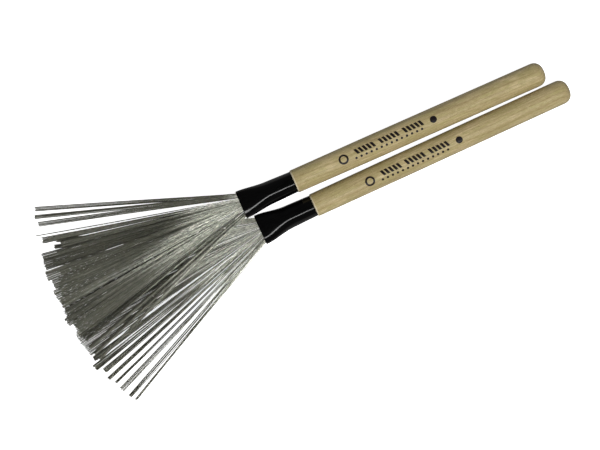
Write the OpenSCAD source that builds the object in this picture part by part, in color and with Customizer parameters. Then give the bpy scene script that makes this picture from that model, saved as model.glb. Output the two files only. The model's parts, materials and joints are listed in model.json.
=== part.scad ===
// A pair of wire drum brushes: turned maple handles, black shrunk-on sleeves and
// flat fans of spring-steel wire. The upper brush lies beside the lower one with
// its wires resting across the lower brush's wires.
// Millimetres, +Z up. The origin is the middle of the lower handle's parallel grip,
// +X points along that handle, out of its butt, and +Y points towards the upper brush.

/* [Handles] */
// Bare wood of the lower handle, from the butt to the sleeve
lower_handle_len = 174; // [165:0.5:182]
// Bare wood of the upper handle, from the butt to the sleeve
upper_handle_len = 169.5; // [165:0.5:182]
// Diameter of the parallel grip
grip_d = 15.2; // [15.0:0.1:15.4]
// Length of the parallel grip, ahead of the rounded butt
grip_len = 110; // [90:1:120]
// Diameter of the wood where the sleeve begins
neck_d = 14.8; // [14.4:0.1:15.0]
// Length of the rounding at the butt
butt_len = 7; // [6:0.5:9]
// Fullness of the butt's curve: 2 is an ellipse, higher is squarer
butt_power = 2.5; // [2:0.1:3]

/* [Wood under the sleeve] */
// Diameter of the spigot that the sleeve is shrunk onto
spigot_d = 12.2; // [12.0:0.1:12.3]
// Length of the spigot
spigot_len = 15; // [13:0.5:17]
// Depth of the bore for the wire bundle
bore_depth = 26; // [22:1:34]

/* [Wire anchor] */
// Outside diameter of the metal ferrule round the wire bundle
ferrule_d = 9.4; // [9.2:0.1:9.5]
// Length of the ferrule
ferrule_len = 22; // [18:1:24]
// Wall of the ferrule
ferrule_wall = 0.5; // [0.4:0.05:0.55]
// Number of crimp grooves round the ferrule
crimps = 3; // [2:1:4]

/* [Sleeves] */
// Length of the lower brush's sleeve
lower_sleeve_len = 36.5; // [34:0.5:38]
// Length of the upper brush's sleeve
upper_sleeve_len = 35.8; // [34:0.5:38]
// Diameter of the sleeve where it meets the wood
sleeve_d = 13.5; // [13.4:0.1:13.8]
// Wall of the sleeve
sleeve_wall = 0.55; // [0.45:0.05:0.6]
// Width of the lower sleeve's flattened mouth
lower_mouth_w = 19.6; // [18.8:0.1:20.4]
// Width of the upper sleeve's flattened mouth
upper_mouth_w = 18.1; // [17.6:0.1:19]
// Height of the flattened mouths
mouth_h = 9.2; // [9.0:0.1:9.8]

/* [Wires] */
// Diameter of each wire
wire_d = 0.38; // [0.3:0.01:0.38]
// Free length of the lower brush's wires
lower_free_len = 126; // [110:0.5:130]
// Free length of the upper brush's wires
upper_free_len = 125.5; // [110:0.5:130]
// How much longer the lower wires grow towards the fan's outer side, each way from the middle
lower_len_trend = 2.5; // [0:0.5:3]
// How much longer the upper wires grow towards the other brush, each way from the middle
upper_len_trend = 2; // [0:0.5:5]
// How much longer the lower fan's middle wires are than its edge wires
lower_belly = 5.5; // [0:0.5:6]
// How much longer the upper fan's middle wires are than its edge wires
upper_belly = 1.5; // [0:0.5:5]
// Fan angle of the lower brush on its outer side
lower_fan_out = 26.2; // [24:0.1:26.5]
// Fan angle of the lower brush on the side towards the other brush
lower_fan_in = 18.6; // [16:0.1:24]
// Fan angle of the upper brush on the side towards the other brush
upper_fan_in = 20.7; // [19:0.1:22]
// Fan angle of the upper brush on its outer side
upper_fan_out = 19.9; // [18:0.1:22]
// Height between layers of wire at the mouth
layer_mouth = 0.5; // [0.48:0.01:0.5]
// Height between layers of wire at the tips
layer_tip = 0.46; // [0.42:0.01:0.46]
// Fall of the lower fan at its tips
lower_droop = 2.7; // [2:0.1:4]
// Half widths in degrees of the loose ribbons on the lower fan's outer side, outermost first
lower_ribbons_out = [0.2, 0.4, 0.66, 0.25, 0.42, 0.65, 0.85, 0.65]; // [0.05:0.01:0.9]
// Angles from each of them to the next, and from the last to the full part of the fan
lower_steps_out = [1.6, 2.7, 1.9, 1.8, 2.1, 1.9, 1.8, 0.9]; // [0.9:0.1:2.8]
// Half widths of the lower fan's ribbons on the side towards the other brush
lower_ribbons_in = [0.5, 0.5, 0.5]; // [0.05:0.01:0.9]
// Their steps
lower_steps_in = [1.5, 1.4, 1.2]; // [0.9:0.1:2.8]
// Half widths of the upper fan's ribbons on the side towards the other brush
upper_ribbons_in = [0.3, 0.5, 0.5]; // [0.05:0.01:0.9]
// Their steps
upper_steps_in = [1.8, 1.9, 1.3]; // [0.9:0.1:2.8]
// Half widths of the upper fan's ribbons on its outer side
upper_ribbons_out = [0.58, 0.5, 0.6, 0.05, 0.85]; // [0.05:0.01:0.9]
// Their steps
upper_steps_out = [2.0, 1.9, 2.5, 1.3, 1.1]; // [0.9:0.1:2.8]
// Column of wires that is cut short on the upper brush
short_column = 14; // [0:1:19]
// How much shorter that column is
short_by = 12; // [0:1:14]

/* [How the pair lies] */
// How far the upper butt lies ahead of the lower one
butt_step = 9.6; // [5:0.2:12]
// Distance between the two butts' centres
butt_gap = 16.2; // [16.2:0.1:18]
// How far the upper handle turns away from the lower one, in degrees
splay = 0.75; // [0.5:0.05:1.5]
// How high the lower wires hold up the upper sleeve's mouth
mouth_raise = 4.9; // [4.8:0.1:5.6]

/* [Hidden] */

maple = [0.70, 0.62, 0.43];
black = [0.03, 0.03, 0.03];
steel = [0.42, 0.42, 0.38];
brass = [0.72, 0.60, 0.33];
resin = [0.75, 0.66, 0.42];

slack = 0.05;     // air between pieces that are set into one another
overshoot = 1;    // how far a cutting cylinder passes the face it opens
grip_r = grip_d / 2;
ferrule_r = ferrule_d / 2;
anchor_out = 0.4; // the ferrule's mouth end stands this far out of the spigot
slug_recess = 1;  // the resin's face lies this far inside the ferrule

// ---- Where the two brushes lie. Each brush is drawn with its butt at the local origin,
// ---- its axis on X and its wires towards -X.
butt_x = butt_len + grip_len / 2;
upper_len = upper_handle_len + upper_sleeve_len;

// The tilted upper grip touches the table at its butt end, which sets the butt's height
function upper_butt_z(tilt) = -grip_r + grip_r * cos(tilt) - butt_len * sin(tilt);
// The tilt that raises the mouth, refined from a first guess
function solve_tilt(tilt, rounds) =
  rounds == 0 ? tilt
  : solve_tilt(asin((mouth_raise - upper_butt_z(tilt)) / upper_len), rounds - 1);
upper_tilt = solve_tilt(tilt = 1, rounds = 12);

module place_lower() translate([butt_x, 0, 0]) children();
module place_upper()
  translate([butt_x - butt_step, butt_gap, upper_butt_z(upper_tilt)])
    rotate([0, upper_tilt, -splay]) children();

module at_lower_mouth()
  place_lower() translate([-lower_handle_len - lower_sleeve_len, 0, 0]) children();
module at_upper_mouth() place_upper() translate([-upper_len, 0, 0]) children();

// ---- Handle: one turning, with the sleeve's spigot and the bundle's bore
dome_steps = 14;
neck_chamfer = 0.45;
spigot_chamfer = 0.6;

function butt_r(depth) =
  grip_r * pow(1 - pow((butt_len - depth) / butt_len, butt_power), 1 / butt_power);

module handle(wood_len) {
  spigot_r = spigot_d / 2;
  spigot_end = -wood_len - spigot_len;
  // Depths crowd towards the end face so that the dome stays smooth
  dome = [
    for (i = [0 : dome_steps - 1])
      let (depth = butt_len * pow(i / dome_steps, 2)) [butt_r(depth), -depth]
  ];
  // Radius and place along the axis
  outline = concat(
    dome,
    [
      [grip_r, -butt_len],
      [grip_r, -butt_len - grip_len],
      [neck_d / 2, -wood_len + neck_chamfer],
      [neck_d / 2 - neck_chamfer, -wood_len],
      [spigot_r, -wood_len],
      [spigot_r, spigot_end + spigot_chamfer],
      [spigot_r - spigot_chamfer, spigot_end],
      [0, spigot_end]
    ]
  );
  color(maple) difference() {
    rotate([0, 90, 0]) rotate_extrude($fn = 96) polygon(outline);
    translate([spigot_end - overshoot, 0, 0]) rotate([0, 90, 0])
      cylinder(r = ferrule_r + slack, h = bore_depth + overshoot, $fn = 64);
  }
}

// ---- Ferrule: a thin tube round the bundle, with crimp grooves
crimp_groove_r = 0.22;

// Stands its children on the ferrule's mouth end, with their Z along +X
module at_ferrule(wood_len)
  translate([-wood_len - spigot_len - anchor_out, 0, 0]) rotate([0, 90, 0]) children();

module ferrule(wood_len) {
  crimp_pitch = ferrule_len / (crimps + 1);
  color(brass) at_ferrule(wood_len) difference() {
    cylinder(r = ferrule_r, h = ferrule_len, $fn = 64);
    translate([0, 0, -overshoot])
      cylinder(r = ferrule_r - ferrule_wall, h = ferrule_len + 2 * overshoot, $fn = 64);
    for (i = [1 : crimps])
      translate([0, 0, crimp_pitch * i]) rotate_extrude($fn = 64)
        translate([ferrule_r, 0]) circle(r = crimp_groove_r, $fn = 24);
  }
}

// ---- Root slug: resin inside the ferrule, with a plug between it and the bore's bottom
module root_slug(wood_len) {
  slug_r = ferrule_r - ferrule_wall - slack;
  plug_space = bore_depth - ferrule_len + anchor_out;
  color(resin) at_ferrule(wood_len) {
    translate([0, 0, slug_recess])
      cylinder(r = slug_r, h = ferrule_len - slug_recess + 2 * slack, $fn = 64);
    translate([0, 0, ferrule_len + slack])
      cylinder(r = ferrule_r, h = plug_space - 2 * slack, $fn = 64);
  }
}

// ---- Sleeve: a round tube on the spigot, pressed flat and wide at its mouth.
// ---- Distances along it run from the wood to the mouth.
sleeve_flare = 0.03;      // growth of the radius per millimetre over the spigot
width_flare_end = 16;     // where the flare stops in the width
width_press_start = 16.5; // where the width starts to spread
height_flare_end = 14;    // and the same two in the height
height_press_start = 13.5;
square_start = 15;        // where the section starts to turn squarer
square_gain = 0.6;        // added at the mouth to the power of 2 that makes an ellipse
ring_points = 40;
// Sections, as fractions of the sleeve's length
stations = [0, 0.1, 0.25, 0.38, 0.46, 0.52, 0.58, 0.64, 0.70, 0.76, 0.82, 0.88, 0.94, 1];

function ease(t) = let (u = min(1, max(0, t))) u * u * (3 - 2 * u);
function ease_to_mouth(along, start, sleeve_len) = ease((along - start) / (sleeve_len - start));
function flared_r(along) = sleeve_d / 2 + sleeve_flare * along;
function half_size(along, sleeve_len, mouth_size, flare_end, press_start) =
  flared_r(min(along, flare_end))
  + (mouth_size / 2 - flared_r(flare_end)) * ease_to_mouth(along, press_start, sleeve_len);
function signed_pow(v, power) = v < 0 ? -pow(-v, power) : pow(v, power);

function ring(along, sleeve_len, mouth_w, inset) =
  let (
    half_w = half_size(along, sleeve_len, mouth_w, width_flare_end, width_press_start) - inset,
    half_h = half_size(along, sleeve_len, mouth_h, height_flare_end, height_press_start) - inset,
    power = 2 / (2 + square_gain * ease_to_mouth(along, square_start, sleeve_len))
  )
  [
    for (i = [0 : ring_points - 1])
      let (angle = i * 360 / ring_points)
        [half_w * signed_pow(cos(angle), power), half_h * signed_pow(sin(angle), power)]
  ];

function sleeve_skin(wood_len, sleeve_len, mouth_w, inset) = [
  for (t = stations)
    for (p = ring(t * sleeve_len, sleeve_len, mouth_w, inset))
      [-wood_len - slack - t * (sleeve_len - slack), p[0], p[1]]
];

// Two triangles that meet on the line from the first corner to the third
function quad(a, b, c, d) = [[a, b, c], [a, c, d]];

module sleeve(wood_len, sleeve_len, mouth_w) {
  outer = sleeve_skin(wood_len, sleeve_len, mouth_w, inset = 0);
  inner = sleeve_skin(wood_len, sleeve_len, mouth_w, inset = sleeve_wall);
  lining = len(outer);         // first point of the inner skin
  lip = lining - ring_points;  // first point of the outer skin's last ring
  wood_end = [
    for (i = [0 : ring_points - 1])
      let (next = (i + 1) % ring_points)
        each quad(i, lining + i, lining + next, next)
  ];
  mouth_end = [
    for (i = [0 : ring_points - 1])
      let (a = lip + i, b = lip + (i + 1) % ring_points)
        each quad(a, b, lining + b, lining + a)
  ];
  walls = [
    for (start = [0 : ring_points : lip - ring_points])
      for (i = [0 : ring_points - 1])
        let (
          a = start + i,
          b = start + (i + 1) % ring_points,
          c = b + ring_points,
          d = a + ring_points
        )
          each concat(quad(a, b, c, d), quad(lining + a, lining + d, lining + c, lining + b))
  ];
  color(black)
    polyhedron(
      points = concat(outer, inner),
      faces = concat(walls, wood_end, mouth_end),
      convexity = 6
    );
}

// ---- Wires. Column 0 is at the -Y edge of a fan, and a layer is counted from the fan's
// ---- middle plane. A fan is thin at its edges and thick in the middle.
// ---- Places are measured from the middle of the sleeve's mouth.
first_col = [0, 3, 8, 12, 17, 20]; // each tuft's first column, then the number of columns
cols = first_col[len(first_col) - 1];
sides = 3;          // columns at each edge of the mouth that spread over its corner
edge_top_layer = 3; // top layer of those columns
cut = 0.6;          // clamped and free lengths stop this far each side of the mouth
root_col = 0.39;    // wire spacing across the bundle in the ferrule
root_layer = 0.42;  // and between its layers

function edge(column) = min(column, cols - 1 - column);
function top_layer(column) =
  edge_top_layer + (edge(column) < sides ? 0 : floor(edge(column) / 2));
function wires_in(column) = 2 * top_layer(column) + 1;
// Order of a column's wires from -Y to +Y: neighbours are always several layers apart
rank_stride = 4;
function rank(column, layer) =
  ((layer + top_layer(column)) * rank_stride) % wires_in(column);
function across(column, layer) = rank(column, layer) / top_layer(column) - 1; // from -1 to 1
// Whether a tuft ends on the column's -Y or +Y side
function seam_below(column) = len([for (first = first_col) if (first == column) first]) > 0;
function seam_above(column) = seam_below(column + 1);

// At the mouth the edge columns overlap in plan, each wire keeping its place in its layer,
// so that their ribbons leave the sleeve at their full width. The others stand side by side.
// Reach is the outermost wires' distance from the axis at the mouth.
side_pitch = 0.6;    // between edge columns
inner_spread = 0.2;  // half width of the other columns
seam_spread = 0.06;  // and of those beside a seam between tufts
function side_spread(reach) = 0.11 * reach;
function column_y(column, reach) =
  edge(column) < sides
    ? sign(column - cols / 2) * (reach - side_spread(reach) - side_pitch * edge(column))
    : (2 * (column - sides) / (cols - 1 - 2 * sides) - 1)
      * (reach - 2 * side_spread(reach) - side_pitch * sides);
function column_spread(column, reach) =
  edge(column) < sides ? side_spread(reach)
  : seam_below(column) || seam_above(column) ? seam_spread
  : inner_spread;
function mouth_point(column, layer, reach) = [
  0,
  column_y(column, reach) + column_spread(column, reach) * across(column, layer),
  layer * layer_mouth
];

// Entries of the list that describes a fan
REACH = 0;
FIRST_ANGLE = 1; // of column 0
LAST_ANGLE = 2;  // of the last column
FREE_LEN = 3;
LEN_TREND = 4;   // growth in length towards +Y
BELLY = 5;       // growth in length towards the middle
TIP_RISE = 6;
SHORT_BY = 7;    // how much the short column lacks
RIBBONS_LO = 8;  // half widths of the ribbons at the -Y edge, outermost first
STEPS_LO = 9;
RIBBONS_HI = 10; // and at the +Y edge
STEPS_HI = 11;

lower_reach = lower_mouth_w / 2 - 1.5;
upper_reach = upper_mouth_w / 2 - 1.35;
upper_rise = 0.3;
lower_fan = [
  lower_reach, -lower_fan_out, lower_fan_in,
  lower_free_len, -lower_len_trend, lower_belly, -lower_droop, 0,
  lower_ribbons_out, lower_steps_out, lower_ribbons_in, lower_steps_in
];
upper_fan = [
  upper_reach, -upper_fan_in, upper_fan_out,
  upper_free_len, -upper_len_trend, upper_belly, upper_rise, short_by,
  upper_ribbons_in, upper_steps_in, upper_ribbons_out, upper_steps_out
];

// Ribbons stand apart at the edges. The other columns share the rest of the fan in
// proportion to their wires. They start side by side at the mouth, so their angles overlap
// a little, or the tips would be combed apart. Between tufts, which pass each other, they
// overlap less.
lap = 0.13;
seam_lap = 0.04;
// Full ranges of the random scatter
angle_scatter = 0.06;
column_len_scatter = 4;
wire_len_scatter = 0.9;

// A repeatable number from -0.5 to 0.5, different for every pair of counts
function scatter(i, j) = let (v = sin(i * 127.1 + j * 311.7) * 43758.5453) v - floor(v) - 0.5;
// Sum of a list's first entries
function total(list, count) = count == 0 ? 0 : list[count - 1] + total(list, count - 1);

function in_ribbons_lo(column, fan) = column < len(fan[RIBBONS_LO]);
function in_ribbons_hi(column, fan) = cols - 1 - column < len(fan[RIBBONS_HI]);
function ribbon(column, fan) =
  in_ribbons_lo(column, fan) ? fan[RIBBONS_LO][column]
  : in_ribbons_hi(column, fan) ? fan[RIBBONS_HI][cols - 1 - column]
  : 0;
// Wires of the fan's full part on the -Y side of a column
function wires_before(column, fan) =
  column <= len(fan[RIBBONS_LO]) ? 0 : wires_before(column - 1, fan) + wires_in(column - 1);
function full_lo(fan) = fan[FIRST_ANGLE] + total(fan[STEPS_LO], len(fan[RIBBONS_LO]));
function full_hi(fan) = fan[LAST_ANGLE] - total(fan[STEPS_HI], len(fan[RIBBONS_HI]));
function degree_per_wire(fan) =
  (full_hi(fan) - full_lo(fan)) / wires_before(cols - len(fan[RIBBONS_HI]), fan);
function column_angle(column, fan) =
  in_ribbons_lo(column, fan) ? fan[FIRST_ANGLE] + total(fan[STEPS_LO], column)
  : in_ribbons_hi(column, fan) ? fan[LAST_ANGLE] - total(fan[STEPS_HI], cols - 1 - column)
  : full_lo(fan) + degree_per_wire(fan) * (wires_before(column, fan) + wires_in(column) / 2);
// Angle from a column's middle to one of its sides
function half_angle(column, at_seam, fan) =
  let (half_ribbon = ribbon(column, fan), count = wires_in(column))
  half_ribbon > 0
    ? half_ribbon * count / (count - 1)
    : degree_per_wire(fan) * count / 2 + (at_seam ? seam_lap : lap);
function wire_angle(column, layer, fan) =
  let (
    below = half_angle(column, seam_below(column), fan),
    above = half_angle(column, seam_above(column), fan)
  )
  column_angle(column, fan) - below
  + (below + above) * (rank(column, layer) + 0.5) / wires_in(column)
  + angle_scatter * scatter(column, layer + 40);
function wire_len(column, layer, fan) =
  let (side = 2 * column / (cols - 1) - 1) // -1 at the -Y edge, 1 at the +Y edge
  fan[FREE_LEN] + fan[LEN_TREND] * side + fan[BELLY] * (1 - side * side)
  + column_len_scatter * scatter(column, 1)
  + wire_len_scatter * scatter(column, layer + 20)
  - (column == short_column ? fan[SHORT_BY] : 0);
function tip_point(column, layer, fan) =
  let (angle = wire_angle(column, layer, fan), length = wire_len(column, layer, fan))
  [
    -length * cos(angle),
    column_y(column, fan[REACH]) + length * sin(angle),
    layer * layer_tip + fan[TIP_RISE] * length / fan[FREE_LEN]
  ];
function root_point(column, layer, slug_face) =
  [slug_face, root_col * (column - (cols - 1) / 2), layer * root_layer];
// The point where a wire from the mouth to its far end is cut, clear of the mouth
function cut_point(mouth, far) = mouth + (far - mouth) * (cut / abs(far[0] - mouth[0]));

module wire(from, to) {
  run = to - from;
  length = norm(run);
  translate(from) rotate([0, acos(run[2] / length), atan2(run[1], run[0])])
    cylinder(d = wire_d, h = length, $fn = 24);
}

// The free wires of one tuft, from just outside the mouth to their tips
module free_wires(tuft, fan) {
  for (column = [first_col[tuft - 1] : first_col[tuft] - 1])
    for (layer = [-top_layer(column) : top_layer(column)]) {
      tip = tip_point(column, layer, fan);
      wire(cut_point(mouth_point(column, layer, fan[REACH]), tip), tip);
    }
}

// All the wires' clamped lengths, from the slug's face to just inside the mouth
module clamped_wires(reach, sleeve_len) {
  slug_face = sleeve_len - spigot_len - anchor_out + slug_recess - slack;
  for (column = [0 : cols - 1])
    for (layer = [-top_layer(column) : top_layer(column)]) {
      root = root_point(column, layer, slug_face);
      wire(root, cut_point(mouth_point(column, layer, reach), root));
    }
}

// ---- Nodes
module lower_handle() place_lower() handle(lower_handle_len);
module lower_ferrule() place_lower() ferrule(lower_handle_len);
module lower_root_slug() place_lower() root_slug(lower_handle_len);
module lower_wire_roots()
  color(steel) at_lower_mouth() clamped_wires(lower_reach, lower_sleeve_len);
module lower_sleeve() place_lower() sleeve(lower_handle_len, lower_sleeve_len, lower_mouth_w);
module lower_tuft(tuft) color(steel) at_lower_mouth() free_wires(tuft, lower_fan);

module upper_handle() place_upper() handle(upper_handle_len);
module upper_ferrule() place_upper() ferrule(upper_handle_len);
module upper_root_slug() place_upper() root_slug(upper_handle_len);
module upper_wire_roots()
  color(steel) at_upper_mouth() clamped_wires(upper_reach, upper_sleeve_len);
module upper_sleeve() place_upper() sleeve(upper_handle_len, upper_sleeve_len, upper_mouth_w);
module upper_tuft(tuft) color(steel) at_upper_mouth() free_wires(tuft, upper_fan);

lower_handle();
lower_ferrule();
lower_root_slug();
lower_wire_roots();
lower_sleeve();
lower_tuft(1);  // lower_tuft_1
lower_tuft(2);  // lower_tuft_2
lower_tuft(3);  // lower_tuft_3
lower_tuft(4);  // lower_tuft_4
lower_tuft(5);  // lower_tuft_5
upper_handle();
upper_ferrule();
upper_root_slug();
upper_wire_roots();
upper_sleeve();
upper_tuft(1);  // upper_tuft_1
upper_tuft(2);  // upper_tuft_2
upper_tuft(3);  // upper_tuft_3
upper_tuft(4);  // upper_tuft_4
upper_tuft(5);  // upper_tuft_5
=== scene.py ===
"""A pair of wire drum brushes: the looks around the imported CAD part.

Metres, in the part's own frame. Both brushes lie on a table that faces +Z, with the butts of their
handles towards +X and their wires fanning out towards -X. Each brush is a maple handle, a flattened
black sleeve and five tufts of steel wire.
"""

import json
import math

import bpy
import numpy as np
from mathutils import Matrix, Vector


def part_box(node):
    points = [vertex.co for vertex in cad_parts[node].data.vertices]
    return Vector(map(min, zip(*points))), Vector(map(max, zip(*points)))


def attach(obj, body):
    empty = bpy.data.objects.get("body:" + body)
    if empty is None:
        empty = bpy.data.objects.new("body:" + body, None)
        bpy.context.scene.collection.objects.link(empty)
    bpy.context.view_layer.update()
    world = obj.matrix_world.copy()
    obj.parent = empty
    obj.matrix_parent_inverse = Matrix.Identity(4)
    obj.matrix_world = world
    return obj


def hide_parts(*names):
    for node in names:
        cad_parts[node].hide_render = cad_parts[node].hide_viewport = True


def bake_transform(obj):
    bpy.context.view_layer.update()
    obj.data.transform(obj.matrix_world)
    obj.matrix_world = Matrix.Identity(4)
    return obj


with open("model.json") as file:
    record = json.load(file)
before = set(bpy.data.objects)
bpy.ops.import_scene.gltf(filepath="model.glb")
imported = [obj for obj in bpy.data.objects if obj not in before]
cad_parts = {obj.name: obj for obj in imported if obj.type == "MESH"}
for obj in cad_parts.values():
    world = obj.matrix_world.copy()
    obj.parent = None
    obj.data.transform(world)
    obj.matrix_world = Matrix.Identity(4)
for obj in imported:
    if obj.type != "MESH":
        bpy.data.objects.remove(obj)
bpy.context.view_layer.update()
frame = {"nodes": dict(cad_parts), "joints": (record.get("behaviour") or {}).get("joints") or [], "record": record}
rng = np.random.default_rng(20)

scene = bpy.context.scene
nodes = frame["nodes"]
joints = {joint["name"]: joint for joint in frame["joints"]}
mounts = {mount["name"]: mount for mount in frame["record"]["mounts"]}
TUFTS = (1, 2, 3, 4, 5)
MM = 0.001


# ---------------------------------------------------------------- reading the frame


def unit(vector):
    vector = np.array(vector, float)
    return vector / np.linalg.norm(vector)


class Brush:
    """One brush's own axes, from the middle of its mouth: +x out of the butt and +z up."""

    def __init__(self, side):
        self.side = side
        self.body = side + "_brush"
        flex = joints[side + "_tuft_1_flex"]
        self.mouth = np.array(flex["pos_m"], float)
        along = unit(mounts[side + "_grip"]["axis"])
        across = np.array(flex["axis"], float)
        across = across if across[1] > 0 else -across
        across = unit(across - (across @ along) * along)
        self.up = np.cross(along, across)
        self.axes = np.array([along, across, self.up])

    def local(self, point):
        return (np.asarray(point, float) - self.mouth) @ self.axes.T

    def world(self, point):
        return np.asarray(point, float) @ self.axes + self.mouth

    def node(self, name):
        return f"{self.side}_{name}"


def corners(node):
    mesh = nodes[node].data
    points = np.empty(len(mesh.vertices) * 3)
    mesh.vertices.foreach_get("co", points)
    return points.reshape(-1, 3)


def solids(node):
    """The corner points of each separate solid in a CAD node."""
    points = corners(node)
    _, first, ids = np.unique(
        np.round(points * 1e7).astype(np.int64), axis=0, return_index=True, return_inverse=True
    )
    ids = ids.ravel()
    parent = list(range(len(first)))

    def top(i):
        while parent[i] != i:
            parent[i] = parent[parent[i]]
            i = parent[i]
        return i

    for polygon in nodes[node].data.polygons:
        around = polygon.vertices
        joined = top(ids[around[0]])
        for other in around[1:]:
            found = top(ids[other])
            if joined != found:
                parent[found] = joined
    groups = {}
    for i in range(len(first)):
        groups.setdefault(top(i), []).append(first[i])
    return [points[group] for group in groups.values()]


def straight_wires(brush, node):
    """Each straight wire in a CAD node as the middles of its ends, the one nearer the butt first."""
    end_depth = 2e-5  # corners this close to the furthest one belong to the end
    found = []
    for points in solids(node):
        middle = points.mean(0)
        direction = np.linalg.svd(points - middle, full_matrices=False)[2][0]
        place = (points - middle) @ direction
        one = points[place < place.min() + end_depth].mean(0)
        two = points[place > place.max() - end_depth].mean(0)
        if brush.local(one)[0] < brush.local(two)[0]:
            one, two = two, one
        found.append((one, two))
    return found


brushes = [Brush("lower"), Brush("upper")]


# ---------------------------------------------------------------- mesh building


def smoothstep(low, high, x):
    t = np.clip((x - low) / (high - low), 0, 1)
    return t * t * (3 - 2 * t)


def soften(values, passes):
    """Evens out a run of values in place, holding its two ends."""
    for _ in range(passes):
        values[1:-1] = (values[:-2] + 2 * values[1:-1] + values[2:]) / 4


def make(name, verts, faces, material, sharp):
    """A smooth-shaded mesh object, with edges sharp above an angle in degrees."""
    mesh = bpy.data.meshes.new(name)
    mesh.from_pydata([tuple(v) for v in verts], [], [tuple(f) for f in faces])
    mesh.validate()
    mesh.update()
    mesh.shade_smooth()
    mesh.set_sharp_from_angle(angle=math.radians(sharp))
    ob = bpy.data.objects.new(name, mesh)
    scene.collection.objects.link(ob)
    mesh.materials.append(material)
    return ob


def add_attribute(mesh, name, values):
    attribute = mesh.attributes.new(name, "FLOAT", "POINT")
    attribute.data.foreach_set("value", np.asarray(values, np.float32))


def ring_faces(rings, sides, closed=False):
    """Quads between neighbouring rings of points; closed joins the last ring to the first."""
    total = rings * sides
    faces = []
    for j in range(rings if closed else rings - 1):
        for i in range(sides):
            k = (i + 1) % sides
            quad = (j * sides + i, j * sides + k, (j + 1) * sides + k, (j + 1) * sides + i)
            faces.append(tuple(corner % total for corner in quad))
    return faces


def frames_along(path):
    """Two unit vectors across the path at each of its points, carried along without twisting."""
    tangents = np.gradient(path, axis=0)
    tangents /= np.linalg.norm(tangents, axis=1)[:, None]
    across = unit(np.cross(tangents[0], (0, 0, 1.0)))
    firsts, seconds = [], []
    for tangent in tangents:
        across = unit(across - (across @ tangent) * tangent)
        firsts.append(across)
        seconds.append(np.cross(tangent, across))
    return np.array(firsts), np.array(seconds)


def tube(path, radii, sides):
    """Rings of points round a path, closed with a face at each end."""
    first, second = frames_along(path)
    turn = np.arange(sides) * 2 * math.pi / sides
    ring = np.cos(turn)[None, :, None] * first[:, None, :]
    ring = ring + np.sin(turn)[None, :, None] * second[:, None, :]
    points = path[:, None, :] + ring * np.asarray(radii)[:, None, None]
    rings = len(path)
    faces = ring_faces(rings, sides)
    faces.append(tuple(range(sides))[::-1])
    faces.append(tuple((rings - 1) * sides + i for i in range(sides)))
    return points.reshape(-1, 3), faces


def turned(brush, outline, segments):
    """A turning about the brush's axis from (x, radius) pairs; a radius of 0 closes an end."""
    verts, faces, rows = [], [], []
    turn = np.arange(segments) * 2 * math.pi / segments
    for x, radius in outline:
        if radius < 1e-9:
            rows.append([len(verts)])
            verts.append((x, 0, 0))
        else:
            rows.append(list(range(len(verts), len(verts) + segments)))
            verts += [(x, radius * math.cos(t), radius * math.sin(t)) for t in turn]
    for one, two in zip(rows, rows[1:]):
        for i in range(segments):
            k = (i + 1) % segments
            if len(one) == 1:
                faces.append((one[0], two[k], two[i]))
            elif len(two) == 1:
                faces.append((one[i], one[k], two[0]))
            else:
                faces.append((one[i], one[k], two[k], two[i]))
    return brush.world(np.array(verts)), faces


# ---------------------------------------------------------------- shader tools


def plug(tree, value, socket):
    """Links a signal or socket into a socket, or sets the socket to a plain value."""
    if isinstance(value, Signal):
        value = value.socket
    if isinstance(value, bpy.types.NodeSocket):
        tree.links.new(value, socket)
    else:
        socket.default_value = value


def add_node(tree, kind, inputs=None, **settings):
    node = tree.nodes.new(kind)
    for name, value in settings.items():
        setattr(node, name, value)
    for key, value in (inputs or {}).items():
        plug(tree, value, node.inputs[key])
    return node


def empty_tree(owner):
    owner.use_nodes = True
    owner.node_tree.nodes.clear()
    return owner.node_tree


class Signal:
    """A node's output that can be used in sums. Each operation adds one node."""

    def __init__(self, tree, socket):
        self.tree = tree
        self.socket = socket

    def math(self, operation, first, second=0.0):
        inputs = {0: first, 1: second, 2: 0.0}
        node = add_node(self.tree, "ShaderNodeMath", inputs, operation=operation)
        return Signal(self.tree, node.outputs[0])

    def __add__(self, other):
        return self.math("ADD", self, other)

    def __radd__(self, other):
        return self.math("ADD", other, self)

    def __sub__(self, other):
        return self.math("SUBTRACT", self, other)

    def __rsub__(self, other):
        return self.math("SUBTRACT", other, self)

    def __mul__(self, other):
        return self.math("MULTIPLY", self, other)

    def __abs__(self):
        return self.math("ABSOLUTE", self)

    def fract(self):
        return self.math("FRACT", self)

    def larger(self, other):
        return self.math("MAXIMUM", self, other)

    def span(self, low, high, to):
        """Eases between the two values of to as this goes from low to high."""
        node = add_node(
            self.tree,
            "ShaderNodeMapRange",
            {0: self, 1: low, 2: high, 3: to[0], 4: to[1]},
            interpolation_type="SMOOTHSTEP",
            clamp=True,
        )
        return Signal(self.tree, node.outputs[0])

    def rise(self, low, high):
        return self.span(low, high, to=(0.0, 1.0))

    def fall(self, low, high):
        return self.span(low, high, to=(1.0, 0.0))


def hypot(one, two):
    return one.math("SQRT", one * one + two * two)


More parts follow.
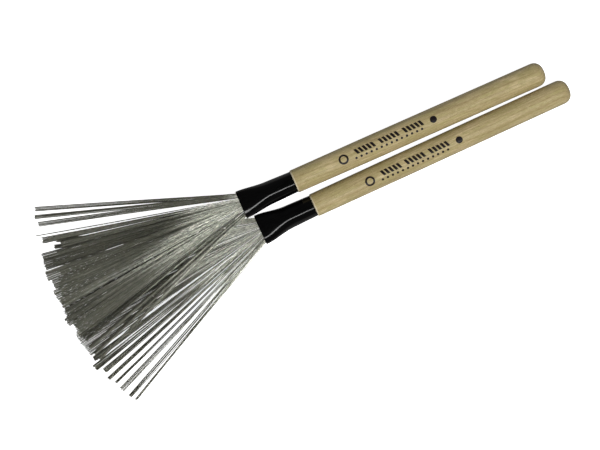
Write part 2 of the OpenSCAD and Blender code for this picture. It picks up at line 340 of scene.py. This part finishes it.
class Look:
    """A node material under construction. Its patterns are laid out in millimetres."""

    def __init__(self, name):
        self.mat = bpy.data.materials.new(name)
        self.tree = empty_tree(self.mat)
        output = add_node(self.tree, "ShaderNodeOutputMaterial")
        self.bsdf = add_node(self.tree, "ShaderNodeBsdfPrincipled")
        plug(self.tree, self.bsdf.outputs[0], output.inputs["Surface"])

    def node(self, kind, output, inputs=None, **settings):
        made = add_node(self.tree, kind, inputs, **settings)
        return Signal(self.tree, made.outputs[output])

    def set(self, **inputs):
        for key, value in inputs.items():
            plug(self.tree, value, self.bsdf.inputs[key.replace("_", " ")])

    def vector(self, x, y, z):
        return self.node("ShaderNodeCombineXYZ", 0, {0: x, 1: y, 2: z})

    def vector_math(self, operation, first, second):
        output = "Value" if operation == "DOT_PRODUCT" else "Vector"
        inputs = {0: first, 1: second}
        return self.node("ShaderNodeVectorMath", output, inputs, operation=operation)

    def point(self):
        """The point's place at rest, in millimetres."""
        place = self.node("ShaderNodeTexCoord", "Object")
        return self.vector_math("MULTIPLY", place, (1000.0, 1000.0, 1000.0))

    def brush_place(self, brush):
        """x, y and z of the point's place at rest in a brush's own axes, in millimetres."""
        place = self.node("ShaderNodeTexCoord", "Object")
        place = self.vector_math("SUBTRACT", place, tuple(brush.mouth))
        return [self.vector_math("DOT_PRODUCT", place, tuple(e)) * 1000.0 for e in brush.axes]

    def noise(self, vector, scale=1.0, detail=2.0, rough=0.5):
        inputs = {"Vector": vector, "Scale": scale, "Detail": detail, "Roughness": rough}
        return self.node("ShaderNodeTexNoise", "Fac", inputs)

    def streaks(self, point, along, across, detail=2.0, rough=0.5):
        """Noise with one frequency along X and another along Y and Z."""
        stretched = self.vector_math("MULTIPLY", point, (along, across, across))
        return self.noise(stretched, detail=detail, rough=rough)

    def mix(self, factor, first, second):
        """The first colour where factor is 0, the second where it is 1."""
        first, second = (c if isinstance(c, Signal) else (*c, 1.0) for c in (first, second))
        inputs = {0: factor, 6: first, 7: second}
        settings = dict(data_type="RGBA", blend_type="MIX", clamp_factor=True)
        return self.node("ShaderNodeMix", 2, inputs, **settings)

    def tint(self, base, mask, amount, colour):
        """Takes base part of the way towards a colour where mask is 1."""
        return self.mix(mask * amount, base, colour)

    def attribute(self, name):
        return self.node("ShaderNodeAttribute", "Fac", attribute_name=name)

    def bump(self, height, distance, strength):
        inputs = {"Distance": distance, "Strength": strength, "Height": height}
        self.set(Normal=self.node("ShaderNodeBump", 0, inputs))


# ---------------------------------------------------------------- materials


def printed_marks(along, across):
    """A plain printed band: slanted strokes over a row of dots, between a ring and a disc.

    along is in millimetres from the butt, across in millimetres round the handle towards -Y.
    """
    blur = 0.07  # half the width of a soft edge

    def below(value, edge):
        return value.fall(edge - blur, edge + blur)

    # slanted strokes, in three sets of five with one stroke left out between sets
    slant = 0.42
    start, pitch, half_stroke = 81.6, 2.7, 0.88
    strokes, sets = 5, 3
    every = (strokes + 1) * pitch
    row_middle, row_half = -1.45, 1.8
    lean = along + across * slant
    within = ((lean - start) * (1 / every)).fract() * every
    from_middle = abs((within * (1 / pitch)).fract() - 0.5) * pitch
    stroke = below(from_middle, half_stroke)
    row = (below(abs(across - row_middle), row_half) * below(within, strokes * pitch)) * (
        lean.rise(start - blur, start + blur) * below(lean, start + sets * every)
    )
    band = stroke * row

    # a row of dots beside the strokes
    dots_start, dots_end, cut = 82.6, 130.0, 0.1
    step, dots_across, dot_radius = 3.4, 2.35, 0.78
    dot_x = (((along - dots_start) * (1 / step)).fract() - 0.5) * step
    dot_y = across - dots_across
    dot = below(hypot(dot_x, dot_y), dot_radius)
    dots = dot * (
        along.rise(dots_start - cut, dots_start + cut) * along.fall(dots_end - cut, dots_end + cut)
    )

    # a disc towards the butt and a ring towards the sleeve, each placed by (along, across)
    disc_at, disc_radius = (75.6, -0.3), 2.2
    ring_at, ring_radius, ring_half = (136.2, 0.0), 2.55, 0.62
    disc_x, disc_y = along - disc_at[0], across - disc_at[1]
    disc = below(hypot(disc_x, disc_y), disc_radius)
    ring_x, ring_y = along - ring_at[0], across - ring_at[1]
    ring = below(abs(hypot(ring_x, ring_y) - ring_radius), ring_half)
    return band.larger(dots).larger(disc.larger(ring))


# seed shifts the grain along the stick, pith is the (y, z) of the tree's centre, and roll is how
# far the print has turned towards -Y; all in millimetres
STICKS = {
    "lower": dict(seed=0.0, pith=(31.0, -22.0), roll=0.95),
    "upper": dict(seed=37.0, pith=(-26.0, -30.0), roll=0.0),
}
PRINT_RADIUS = 7.55  # mm, turns an angle into a distance round the handle


def maple(brush, butt, bare):
    """Turned and lacquered maple. The turning cuts the growth rings at a slant, in long lines.

    butt is the x of the butt and bare the length of wood outside the sleeve, in metres.
    """
    look = Look(f"maple_{brush.side}")
    x, y, z = look.brush_place(brush)
    stick = STICKS[brush.side]
    seed = stick["seed"]

    def grain(along, across, detail=2.0, rough=0.5):
        place = look.vector((x + seed) * along, y * across, z * across)
        return look.noise(place, detail=detail, rough=rough)

    from_butt = float(butt / MM) - x

    # growth rings round a pith well outside the stick
    wander = grain(along=0.012, across=0.05, detail=3.0, rough=0.55)
    rings_per_mm, wander_depth, taper = 0.62, 5.0, 0.012
    pith_y, pith_z = y - stick["pith"][0], z - stick["pith"][1]
    depth = hypot(pith_y, pith_z) + (wander * wander_depth + x * taper)
    ring = (depth * rings_per_mm).fract()
    late = ring.rise(0.55, 0.93) * ring.fall(0.93, 1.0)

    # fibres, pores and broad clouds of colour
    fibre = grain(along=0.09, across=4.2, detail=4.0, rough=0.6)
    fine = grain(along=0.35, across=13.0)
    fleck = grain(along=0.55, across=7.0, detail=1.0).rise(0.63, 0.72)
    cloud = grain(along=0.035, across=0.22, detail=3.0)
    mottle = grain(along=0.16, across=0.55, rough=0.55)
    # the rosy patches are shifted in y as well, away from the other patterns
    rosy = look.noise(look.vector((x + seed) * 0.05, (y + 9.0) * 0.42, z * 0.42)).rise(0.47, 0.62)

    wood = look.mix(cloud.rise(0.40, 0.60), (0.392, 0.322, 0.144), (0.560, 0.455, 0.245))
    wood = look.tint(wood, mottle.rise(0.42, 0.58), amount=0.85, colour=(0.395, 0.342, 0.145))
    wood = look.tint(wood, rosy, amount=0.45, colour=(0.500, 0.375, 0.225))
    wood = look.tint(wood, fibre.rise(0.38, 0.64), amount=0.78, colour=(0.290, 0.226, 0.096))
    wood = look.tint(wood, late, amount=0.58, colour=(0.245, 0.180, 0.072))
    wood = look.tint(wood, fine.rise(0.46, 0.70), amount=0.52, colour=(0.670, 0.575, 0.355))
    wood = look.tint(wood, fleck, amount=0.70, colour=(0.165, 0.110, 0.048))
    # handling has darkened the butt a little
    wood = look.tint(wood, from_butt.fall(0.0, 26.0), amount=0.10, colour=(0.24, 0.19, 0.09))
    # end grain shows where the turning cuts across the fibres
    wood = look.tint(wood, from_butt.fall(0.3, 3.0), amount=0.35, colour=(0.235, 0.175, 0.080))
    # painted highlight: the clean-cut corner at the sleeve is painted paler, as where it catches the light
    corner = from_butt.rise(bare / MM - 1.15, bare / MM - 0.55)
    wood = look.tint(wood, corner, amount=0.75, colour=(0.70, 0.62, 0.44))

    # the print, rubbed thin in places
    turn = y * -1.0
    across = turn.math("ARCTAN2", turn, z) * PRINT_RADIUS
    ink = printed_marks(from_butt, across - stick["roll"])
    rub = look.noise(look.vector(x * 2.2, y * 2.2, z * 2.2), detail=3.0, rough=0.6)
    ink = ink * rub.span(0.28, 0.42, to=(0.90, 1.0))
    wood = look.mix(ink, wood, (0.0085, 0.0060, 0.0070))

    look.set(
        Base_Color=wood,
        Roughness=fibre.span(0.3, 0.7, to=(0.40, 0.52)) + ink * -0.06,
        Specular_IOR_Level=0.35,
        Coat_Weight=0.16,
        Coat_Roughness=0.30,
    )
    # fibres and ink stand proud, flecks and late wood are sunk
    height = fibre * 0.5 + (fine * 0.25 + (fleck * -0.9 + (late * -0.25 + ink * 0.5)))
    look.bump(height, distance=0.00003, strength=0.55)
    return look.mat


def black_sleeve():
    """Shrunk black tube: glossy, with a faint draw along it and a little dust."""
    look = Look("black_sleeve")
    point = look.point()
    draw = look.streaks(point, along=0.12, across=2.4, detail=3.0, rough=0.55)
    peel = look.noise(point, scale=0.9, detail=3.0)
    dust = look.noise(point, scale=5.0, detail=1.0).rise(0.70, 0.76)
    black = look.mix(draw.rise(0.35, 0.65), (0.0012, 0.0012, 0.0012), (0.0026, 0.0026, 0.0027))
    black = look.tint(black, dust, amount=0.25, colour=(0.014, 0.014, 0.013))
    look.set(
        Base_Color=black,
        Roughness=draw.span(0.3, 0.7, to=(0.09, 0.13)) + dust * 0.15,
        Specular_IOR_Level=0.24,
    )
    look.bump(draw * 0.5 + peel * 0.6, distance=0.00003, strength=0.25)
    return look.mat


def spring_steel():
    """Drawn steel wire: a painted sheen near the sleeve, painted shade, dull and olive, at the tips.

    The attribute "glow" is the painted sheen at each point, and "tone" differs from wire to wire.
    """
    look = Look("spring_steel")
    point = look.point()
    tone, glow = look.attribute("tone"), look.attribute("glow")
    streak = look.streaks(point, along=0.22, across=1.9, detail=3.0, rough=0.6)
    stain = look.noise(point, scale=0.16, detail=3.0, rough=0.55)
    grime = look.noise(point, scale=2.2)

    # painted shade and painted sheen: a shaded copy of the steel with real stains, and a lit copy
    shaded_stained_steel = look.mix(tone, (0.058, 0.058, 0.043), (0.138, 0.138, 0.106))
    shaded_stained_steel = look.tint(shaded_stained_steel, stain.rise(0.42, 0.62), amount=0.5, colour=(0.098, 0.094, 0.060))
    painted_sheen_steel = look.mix(tone.rise(0.14, 0.34), (0.040, 0.040, 0.030), (0.60, 0.61, 0.50))
    painted_sheen_steel = look.mix(tone.rise(0.40, 0.85), painted_sheen_steel, (1.0, 1.0, 0.90))
    # painted glints: the painted sheen breaks into short lengths with painted shade between them,
    # as where the wires roll over one another; the shift by tone gives each wire its own pattern
    shifted = look.vector_math("ADD", point, look.vector(0.0, 0.0, tone * 90.0))
    painted_glints = look.streaks(shifted, along=0.34, across=0.9, rough=0.6)
    # the bounds run downwards, so the mask is 1 where the noise is low
    shade = painted_glints.rise(0.56, 0.44)
    painted_sheen_steel = look.tint(painted_sheen_steel, shade, amount=0.72, colour=(0.24, 0.245, 0.20))

    # glow mixes the shaded copy into the lit one, which paints the sheen
    steel = look.mix(glow, shaded_stained_steel, painted_sheen_steel)
    streaked = streak.rise(0.45, 0.7)
    steel = look.tint(steel, streaked, amount=0.35 + glow * -0.2, colour=(0.06, 0.06, 0.05))
    steel = look.tint(steel, grime.rise(0.55, 0.75), amount=0.25, colour=(0.24, 0.235, 0.18))
    look.set(
        Base_Color=steel,
        Metallic=0.70 + glow * -0.22,
        Roughness=streak.span(0.3, 0.7, to=(0.24, 0.36)) + (1.0 - glow) * 0.08,
    )
    scratches = look.streaks(point, along=3.0, across=14.0)
    look.bump(scratches, distance=0.00001, strength=0.4)
    return look.mat


def ferrule_brass():
    """Brass with fine lathe lines and patches of tarnish."""
    look = Look("ferrule_brass")
    point = look.point()
    lathe = look.streaks(point, along=9.0, across=0.25)
    tarnish = look.noise(point, scale=0.7, detail=4.0, rough=0.6)
    brass = look.mix(tarnish.rise(0.38, 0.66), (0.66, 0.47, 0.17), (0.36, 0.23, 0.085))
    brass = look.tint(brass, lathe.rise(0.5, 0.8), amount=0.3, colour=(0.82, 0.64, 0.30))
    roughness = tarnish.span(0.3, 0.7, to=(0.22, 0.45))
    look.set(Base_Color=brass, Metallic=1.0, Roughness=roughness)
    look.bump(lathe, distance=0.00002, strength=0.5)
    return look.mat


def resin():
    """Cloudy amber resin with small bubbles."""
    look = Look("resin")
    point = look.point()
    cloud = look.noise(point, scale=0.5, detail=4.0, rough=0.6)
    bubble = look.noise(point, scale=3.2, detail=1.0).rise(0.66, 0.72)
    amber = look.mix(cloud.rise(0.35, 0.65), (0.50, 0.33, 0.105), (0.66, 0.47, 0.19))
    amber = look.tint(amber, bubble, amount=0.5, colour=(0.80, 0.68, 0.42))
    look.set(
        Base_Color=amber,
        Roughness=cloud.span(0.3, 0.7, to=(0.10, 0.28)),
        Coat_Weight=0.4,
        Coat_Roughness=0.08,
    )
    look.bump(cloud + bubble * -1.0, distance=0.00008, strength=0.6)
    return look.mat


STEEL, SLEEVE, BRASS, RESIN = spring_steel(), black_sleeve(), ferrule_brass(), resin()


# ---------------------------------------------------------------- handles

BORE_RADII = (4 * MM, 5.2 * MM)  # the bore's radius lies between these, and the outside above
LONGEST_STRETCH = 0.006  # longer straight runs are cut up so that the shading stays even
DOME_STEPS = 44


def dome_outline(dome, butt):
    """The dome's curve, with its radius evened out against the square root of its depth."""
    curve = np.array([[math.sqrt(max(butt - x, 0)), radius] for x, radius in dome])
    curve = curve[np.argsort(curve[:, 0])]
    curve = curve[np.concatenate([[True], np.diff(curve[:, 0]) > 1e-7])]
    steps = np.linspace(0, curve[-1, 0], DOME_STEPS)
    radii = np.interp(steps, curve[:, 0], curve[:, 1])
    soften(radii, passes=2)
    radii[0] = 0
    return [(butt - step * step, radius) for step, radius in zip(steps, radii)]


def handle(brush):
    """The turning, with its outline read from the CAD solid and its dome in more steps."""
    points = brush.local(corners(brush.node("handle")))
    x, radius = points[:, 0], np.hypot(points[:, 1], points[:, 2])
    pairs = np.unique(np.round(np.column_stack([x, radius]), 6), axis=0)
    butt, tail, grip = x.max(), x.min(), radius.max()
    # the dome ends where the full radius begins, within 30 mm of the butt
    dome_end = min(px for px, pr in pairs if pr > grip - 2e-6 and px > butt - 0.03)
    dome = sorted(
        (tuple(p) for p in pairs if p[0] >= dome_end - 1e-6), key=lambda p: (-p[0], p[1])
    )
    shaft = sorted(
        (tuple(p) for p in pairs if p[0] < dome_end - 1e-6 and p[1] > BORE_RADII[1]),
        key=lambda p: (-p[0], -p[1]),
    )
    bore = [p for p in pairs if BORE_RADII[0] < p[1] <= BORE_RADII[1] and p[0] < butt - 0.1]
    bore_radius = np.mean([p[1] for p in bore])
    bore_end = max(p[0] for p in bore)

    outline = dome_outline(dome, butt)
    last = outline[-1]
    for p in shaft:
        cuts = max(1, int(abs(last[0] - p[0]) / LONGEST_STRETCH))
        for i in range(1, cuts + 1):
            t = i / cuts
            outline.append((last[0] + (p[0] - last[0]) * t, last[1] + (p[1] - last[1]) * t))
        last = p
    outline += [
        (tail, bore_radius),
        (tail + (bore_end - tail) * 0.5, bore_radius),
        (bore_end, bore_radius),
        (bore_end, 0.0),
    ]
    verts, faces = turned(brush, outline, segments=144)
    bare = butt - brush.local(corners(brush.node("sleeve")))[:, 0].max()
    name = f"{brush.side}_handle_turning"
    ob = make(name, verts, faces, maple(brush, butt, bare), sharp=32)
    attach(ob, brush.body)
    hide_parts(brush.node("handle"))
    return ob


# ---------------------------------------------------------------- sleeves

SLEEVE_SIDES = 120
# the softened end against the wood: (millimetres from the end, inset as a share of the wall)
SLEEVE_EDGE = ((0.0, 0.45), (0.02, 0.22), (0.09, 0.08), (0.22, 0.015))
RIPPLE_SEEDS = {"lower": 1.0, "upper": 4.0}


def sleeve_shape(brush):
    """(x, half width, half height, squareness) at each CAD station from the wood, and the wall."""
    points = brush.local(corners(brush.node("sleeve")))
    rows, wall = [], None
    for x in np.unique(np.round(points[:, 0], 5)):
        ring = np.unique(np.round(points[np.abs(points[:, 0] - x) < 2e-5], 7), axis=0)
        width, height = np.abs(ring[:, 1]).max(), np.abs(ring[:, 2]).max()
        flat = np.sort(np.abs(ring[np.abs(ring[:, 2]) < 2e-6][:, 1]))
        if wall is None and len(flat) > 1:
            wall = flat[-1] - flat[0]
        # how far out the section reaches on its diagonal; an ellipse reaches the root of a half
        diagonal = max(
            (
                abs(p[1]) / width
                for p in ring
                if abs(abs(p[1]) / width - abs(p[2]) / height) < 1e-3
            ),
            default=0.7071,
        )
        rows.append((x, width, height, math.log(diagonal) / math.log(math.sqrt(0.5))))
    return np.array(rows[::-1]), wall


def sleeve(brush):
    rows, wall = sleeve_shape(brush)
    wood_end, mouth_end = rows[0, 0], rows[-1, 0]
    length = wood_end - mouth_end

    # an even curve through the stations
    fine = np.linspace(wood_end, mouth_end, 220)
    profile = np.column_stack([np.interp(-fine, -rows[:, 0], rows[:, i]) for i in (1, 2, 3)])
    soften(profile, passes=26)

    # down the outside, round the lip at the mouth and back up the inside, as (x, inset)
    lip = wall * 0.5
    straight = length - lip * 1.02
    path = [(wood_end - depth * MM, wall * share) for depth, share in SLEEVE_EDGE]
    path += [(wood_end - t, 0.0) for t in np.linspace(0.6 * MM, straight, 78)]
    for angle in np.radians(np.linspace(12, 168, 11)):
        path.append((mouth_end + lip * (1 - math.sin(angle)), lip * (1 - math.cos(angle))))
    path += [(wood_end - t, wall) for t in np.linspace(straight, 0.0, 40)]

    turn = np.arange(SLEEVE_SIDES) * 2 * math.pi / SLEEVE_SIDES
    cos, sin = np.cos(turn), np.sin(turn)
    seed = RIPPLE_SEEDS[brush.side]
    verts = []
    for x, inset in path:
        held = min(max(x, mouth_end), wood_end)
        width, height, power = [np.interp(-held, -fine, profile[:, i]) for i in range(3)]
        f = (wood_end - x) / length  # 0 at the wood, 1 at the mouth
        # the tube has shrunk a little unevenly: long shallow ripples, in millimetres,
        # and slight pinches near the mouth
        ripple = 0.018 * np.sin(3 * turn + seed + 5 * f) * smoothstep(0.1, 0.5, f)
        ripple += 0.022 * np.sin(5 * turn - 2.1 * seed - 3.0 * f) * smoothstep(0.35, 0.8, f)
        ripple += 0.012 * np.cos(turn * 2 + seed) * np.sin(f * 21 + seed)
        ripple -= 0.022 * (1 + np.sin(11 * turn + seed)) * smoothstep(0.78, 1.0, f)
        grown = ripple * MM - inset
        y = (width + grown) * np.sign(cos) * np.abs(cos) ** power
        z = (height + grown) * np.sign(sin) * np.abs(sin) ** power
        verts.append(np.column_stack([np.full(SLEEVE_SIDES, x), y, z]))
    faces = ring_faces(len(path), SLEEVE_SIDES, closed=True)
    name = f"{brush.side}_sleeve_tube"
    ob = make(name, brush.world(np.vstack(verts)), faces, SLEEVE, sharp=70)
    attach(ob, brush.body)
    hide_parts(brush.node("sleeve"))
    return ob


# ---------------------------------------------------------------- wires

WIRE_SIDES = 8
OVERLAP = 0.8 * MM  # how far a wire starts back along its clamped length
FREE_STEPS = 15
BLEND_LENGTH = 0.085  # a distance from the mouth, in metres; the point this far out is worked out but not used
# spread of each wire's own bow, wave, set and dip, in millimetres
STRAY = (0.045, 0.035, 0.04, 0.05)


def wire_path(brush, root, start, tip, wobble):
    """A wire's centre line: out of the sleeve along its clamped length, round the mouth's bend,
    then nearly straight, with the small bow and set that a used wire has."""
    inner, outer = root
    clamped_way, free_way = unit(outer - inner), unit(tip - start)
    points = [outer - clamped_way * OVERLAP]
    gap = np.linalg.norm(start - outer)
    for t in (0.0, 0.2, 0.4, 0.6, 0.8):  # a Hermite curve round the bend
        from_outer, from_clamped = 2 * t**3 - 3 * t**2 + 1, t**3 - 2 * t**2 + t
        from_start, from_free = -2 * t**3 + 3 * t**2, t**3 - t**2
        points.append(
            from_outer * outer
            + from_clamped * gap * clamped_way
            + from_start * start
            + from_free * gap * free_way
        )
    sideways = unit(np.cross(brush.up, free_way))
    bow, wave, bend, dip = wobble
    for i in range(FREE_STEPS + 1):
        t = i / FREE_STEPS
        swing = bow * math.sin(math.pi * t**0.7) + wave * math.sin(2 * math.pi * t**0.6)
        offset = sideways * (swing + bend * t**3) + brush.up * dip * math.sin(math.pi * t)
        points.append(start + (tip - start) * t + offset)
    return np.array(points)


def crossing(brush, one, two):
    """Where the line through two points passes through the plane of the mouth."""
    one, two = brush.local(one), brush.local(two)
    return two + (one - two) * (two[0] / (two[0] - one[0]))


def wire_wobble(brush, angle):
    """Bow, wave, set and dip in metres: neighbours bow together, and each strays a little."""
    phase = 0.0 if brush.side == "lower" else 2.3
    shared = (
        0.17 * math.sin(1.05 * angle + phase),
        0.12 * math.sin(1.45 * angle + 2 * phase + 1.0),
        0.0,
        0.0,
    )
    # on the lower brush's -Y side they cross one another on their way out
    loose = 5.0 if brush.side == "lower" and angle > 9.0 else 1.0
    spread = (STRAY[0] * loose, STRAY[1] * loose, *STRAY[2:])
    return tuple((a + rng.normal(0, s)) * MM for a, s in zip(shared, spread))


def painted_sheen_reach(brush, angle):
    """How far from the mouth a wire's painted sheen reaches, in metres, before its own variation."""
    if brush.side == "lower":
        return 0.046
    # the upper brush's +Y edge gets almost no painted sheen
    reach = 0.004 + 0.027 * smoothstep(-16.5, -12.0, angle)
    reach += 0.046 * math.exp(-(((angle - 6.0) / 4.2) ** 2))
    return reach + 0.026 * smoothstep(9.0, 15.0, angle)


def tuft(brush, number, roots):
    node = brush.node(f"tuft_{number}")

    def tip_place(wire):
        place = brush.local(wire[1])
        return round(float(place[1]), 5), round(float(place[2]), 5)

    crossings = np.array([crossing(brush, *root) for root in roots])
    verts, faces = [], []
    tones, glows, runs = [], [], []
    count = 0
    for start, tip in sorted(straight_wires(brush, node), key=tip_place):
        misses = np.linalg.norm(crossings - crossing(brush, tip, start), axis=1)
        root = roots[int(np.argmin(misses))]
        way = brush.local(tip) - brush.local(start)
        angle = math.degrees(math.atan2(-way[1], -way[0]))  # towards -Y
        path = wire_path(brush, root, start, tip, wire_wobble(brush, angle))
        local = brush.local(path)
        radii = (0.19 + 0.025 * smoothstep(0.008, 0.030, -local[:, 0])) * MM
        points, wire_faces = tube(path, radii, WIRE_SIDES)
        tone = rng.random()
        reach = painted_sheen_reach(brush, angle) * (0.85 + 0.3 * rng.random())
        # distance from the mouth, negative inside the sleeve
        run = np.hypot(local[:, 0], local[:, 1] * 0.6) * np.sign(-local[:, 0] + 1e-9)
        # painted sheen: full near the mouth, fading out a little past the wire's reach
        glow = 0.12 + 0.88 * (1 - smoothstep(reach * 0.7, reach * 1.5, run))
        verts.append(points)
        faces += [tuple(i + count for i in face) for face in wire_faces]
        count += len(points)
        tones.append(np.full(len(points), tone))
        glows.append(np.repeat(glow, WIRE_SIDES))
        runs.append(np.repeat(run, WIRE_SIDES))
    ob = make(f"{brush.side}_tuft_{number}_wires", np.vstack(verts), faces, STEEL, sharp=60)
    for name, values in (("tone", tones), ("glow", glows), ("run", runs)):
        add_attribute(ob.data, name, np.concatenate(values))
    far = brush.world(np.array([-BLEND_LENGTH, 0, 0]))
    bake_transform(ob)
    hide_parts(node)
    return ob


# ---------------------------------------------------------------- assembly


def finish_cad(node, material):
    """Gives a CAD piece that stays as it is its material."""
    ob = nodes[node]
    ob.data.materials.clear()
    ob.data.materials.append(material)
    return ob


sleeves, wood, wires = [], [], []
for brush in brushes:
    wood.append(handle(brush))
    sleeves.append(sleeve(brush))
    wood.append(finish_cad(brush.node("ferrule"), BRASS))
    wood.append(finish_cad(brush.node("root_slug"), RESIN))
    root_wires = finish_cad(brush.node("wire_roots"), STEEL)
    # the roots inside the sleeve get the full painted sheen
    for name, value in (("tone", 0.5), ("glow", 1.0)):
        add_attribute(root_wires.data, name, np.full(len(root_wires.data.vertices), value))
    roots = straight_wires(brush, brush.node("wire_roots"))
    wires += [tuft(brush, number, roots) for number in TUFTS]
    wires.append(root_wires)


# ---------------------------------------------------------------- studio

TABLE = min(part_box(name)[0].z for name in ("lower_handle", "upper_handle"))
FLOOR_HALF = 3.0
VIEW_CENTRE = np.array([float(brushes[0].mouth[0]) + 0.02346, -0.00765, 0.0])
CAMERA_SHIFT = (0.00027, 0.00022)  # from the view's centre, along X and Y
VIEW_HALF_WIDTH = 0.186  # half the width that the camera takes in at z = 0
LAMP_AIM_X = -0.17
SHEEN = (0.02, -0.4877, 1.0)  # direction towards the panels that give the sheen


def floor_material():
    """Lights the pieces as a mid grey, while the camera sees it as nearly white."""
    material = bpy.data.materials.new("studio_floor")
    tree = empty_tree(material)
    rays = add_node(tree, "ShaderNodeLightPath")
    lighting = add_node(tree, "ShaderNodeBsdfDiffuse", {"Color": (0.40, 0.40, 0.39, 1)})
    # seen from straight above the floor is lit up to white; at a slant it keeps its shadows
    geometry = add_node(tree, "ShaderNodeNewGeometry")
    facing = add_node(tree, "ShaderNodeSeparateXYZ", {0: geometry.outputs["Incoming"]})
    above = add_node(
        tree,
        "ShaderNodeMapRange",
        {0: facing.outputs["Z"], 1: 0.88, 2: 0.965, 3: 0.60, 4: 1.0},
        interpolation_type="SMOOTHSTEP",
    )
    pale = add_node(tree, "ShaderNodeBsdfDiffuse", {"Color": (0.78, 0.78, 0.775, 1)})
    emission = {"Color": (1, 1, 1, 1), "Strength": above.outputs[0]}
    glow = add_node(tree, "ShaderNodeEmission", emission)
    seen = add_node(tree, "ShaderNodeAddShader", {0: pale.outputs[0], 1: glow.outputs[0]})
    chosen = {0: rays.outputs["Is Camera Ray"], 1: lighting.outputs[0], 2: seen.outputs[0]}
    mix = add_node(tree, "ShaderNodeMixShader", chosen)
    add_node(tree, "ShaderNodeOutputMaterial", {"Surface": mix.outputs[0]})
    return material


def studio_floor():
    mesh = bpy.data.meshes.new("studio_floor")
    signs = ((-1, -1), (1, -1), (1, 1), (-1, 1))
    square = [(x * FLOOR_HALF, y * FLOOR_HALF, TABLE) for x, y in signs]
    mesh.from_pydata(square, [], [(0, 1, 2, 3)])
    floor = bpy.data.objects.new("studio_floor", mesh)
    scene.collection.objects.link(floor)
    mesh.materials.append(floor_material())


def studio_world():
    """A dim surround, darker overhead and in reflections; the camera sees a pale backdrop."""
    world = bpy.data.worlds.new("studio")
    scene.world = world
    tree = empty_tree(world)
    direction = add_node(tree, "ShaderNodeTexCoord").outputs["Generated"]
    height = add_node(tree, "ShaderNodeSeparateXYZ", {0: direction}).outputs["Z"]
    ramp = add_node(tree, "ShaderNodeMapRange", {0: height, 1: 0.0, 2: 1.0, 3: 0.27, 4: 0.08})
    rays = add_node(tree, "ShaderNodeLightPath")
    glossy = {0: rays.outputs["Is Glossy Ray"], 3: 1.0, 4: 0.42}
    dusk = add_node(tree, "ShaderNodeMapRange", glossy)
    factors = {0: ramp.outputs[0], 1: dusk.outputs[0]}
    both = add_node(tree, "ShaderNodeMath", factors, operation="MULTIPLY")
    backdrop = add_node(
        tree,
        "ShaderNodeMix",
        {"B": 0.86, "Factor": rays.outputs["Is Camera Ray"], "A": both.outputs[0]},
        data_type="FLOAT",
    )
    sky = {"Color": (1, 1, 1, 1), "Strength": backdrop.outputs[0]}
    background = add_node(tree, "ShaderNodeBackground", sky)
    add_node(tree, "ShaderNodeOutputWorld", {0: background.outputs[0]})


def lamp(name, towards, distance, size, power, aim=(LAMP_AIM_X, 0, 0), reach=None, **visible):
    """A rectangular lamp facing aim. With reach it lights only those pieces."""
    light = bpy.data.lights.new(name, "AREA")
    light.shape = "RECTANGLE"
    light.size, light.size_y = size
    light.energy = power
    ob = bpy.data.objects.new(name, light)
    scene.collection.objects.link(ob)
    direction = unit(towards)
    ob.location = Vector(np.asarray(aim) + direction * distance)
    ob.rotation_mode = "QUATERNION"
    ob.rotation_quaternion = Vector(direction).to_track_quat("Z", "Y")
    for key, value in visible.items():
        setattr(ob, "visible_" + key, value)
    if reach:
        group = bpy.data.collections.new(name + "_reach")
        for piece in reach:
            group.objects.link(piece)
        ob.light_linking.receiver_collection = group


def sheen_lamp(name, reach, power, towards=SHEEN, distance=3.0, size=(0.9, 0.46), **options):
    """A lamp seen only as a reflection in the pieces it reaches."""
    lamp(name, towards, distance, size, power, reach=reach, diffuse=False, **options)


def studio_camera():
    data = bpy.data.cameras.new("camera")
    data.lens, data.sensor_width = 135.0, 36.0
    camera = bpy.data.objects.new("camera", data)
    scene.collection.objects.link(camera)
    camera.location = (
        VIEW_CENTRE[0] + CAMERA_SHIFT[0],
        VIEW_CENTRE[1] + CAMERA_SHIFT[1],
        VIEW_HALF_WIDTH / (data.sensor_width / 2 / data.lens),
    )
    camera.rotation_euler = (0, 0, math.radians(-24.65))
    data.clip_start, data.clip_end = 0.05, 20
    scene.camera = camera


studio_floor()
studio_world()

# the broad key, from above and a little towards -Y, lights the wood but isn't seen in the gloss
key_way = (0.12, -0.35, 1.0)
lamp("key", key_way, distance=2.0, size=(1.1, 1.1), power=40, aim=VIEW_CENTRE, glossy=False)
# a small bright panel gives the sheen across the wires and the lacquer
sheen_lamp("panel", wood, power=14)
sheen_lamp("wire_panel", wires, power=37)
# a long strip draws one thin line down each sleeve, from the wood to the mouth's corner
sheen_lamp(
    "strip",
    sleeves,
    power=56,
    towards=(0.0, *SHEEN[1:]),
    size=(3.6, 0.30),
    aim=(LAMP_AIM_X - 0.75, 0, 0),
)
# soft panels off both ends, seen in the wires from the sides and from +Y
for name, x in (("butt_end", 0.72), ("tip_end", -0.72)):
    sheen_lamp(name, wires, power=26, towards=(x, 0.0, 0.69), distance=2.5, size=(2.0, 1.0))

studio_camera()
scene.view_settings.view_transform = "Standard"
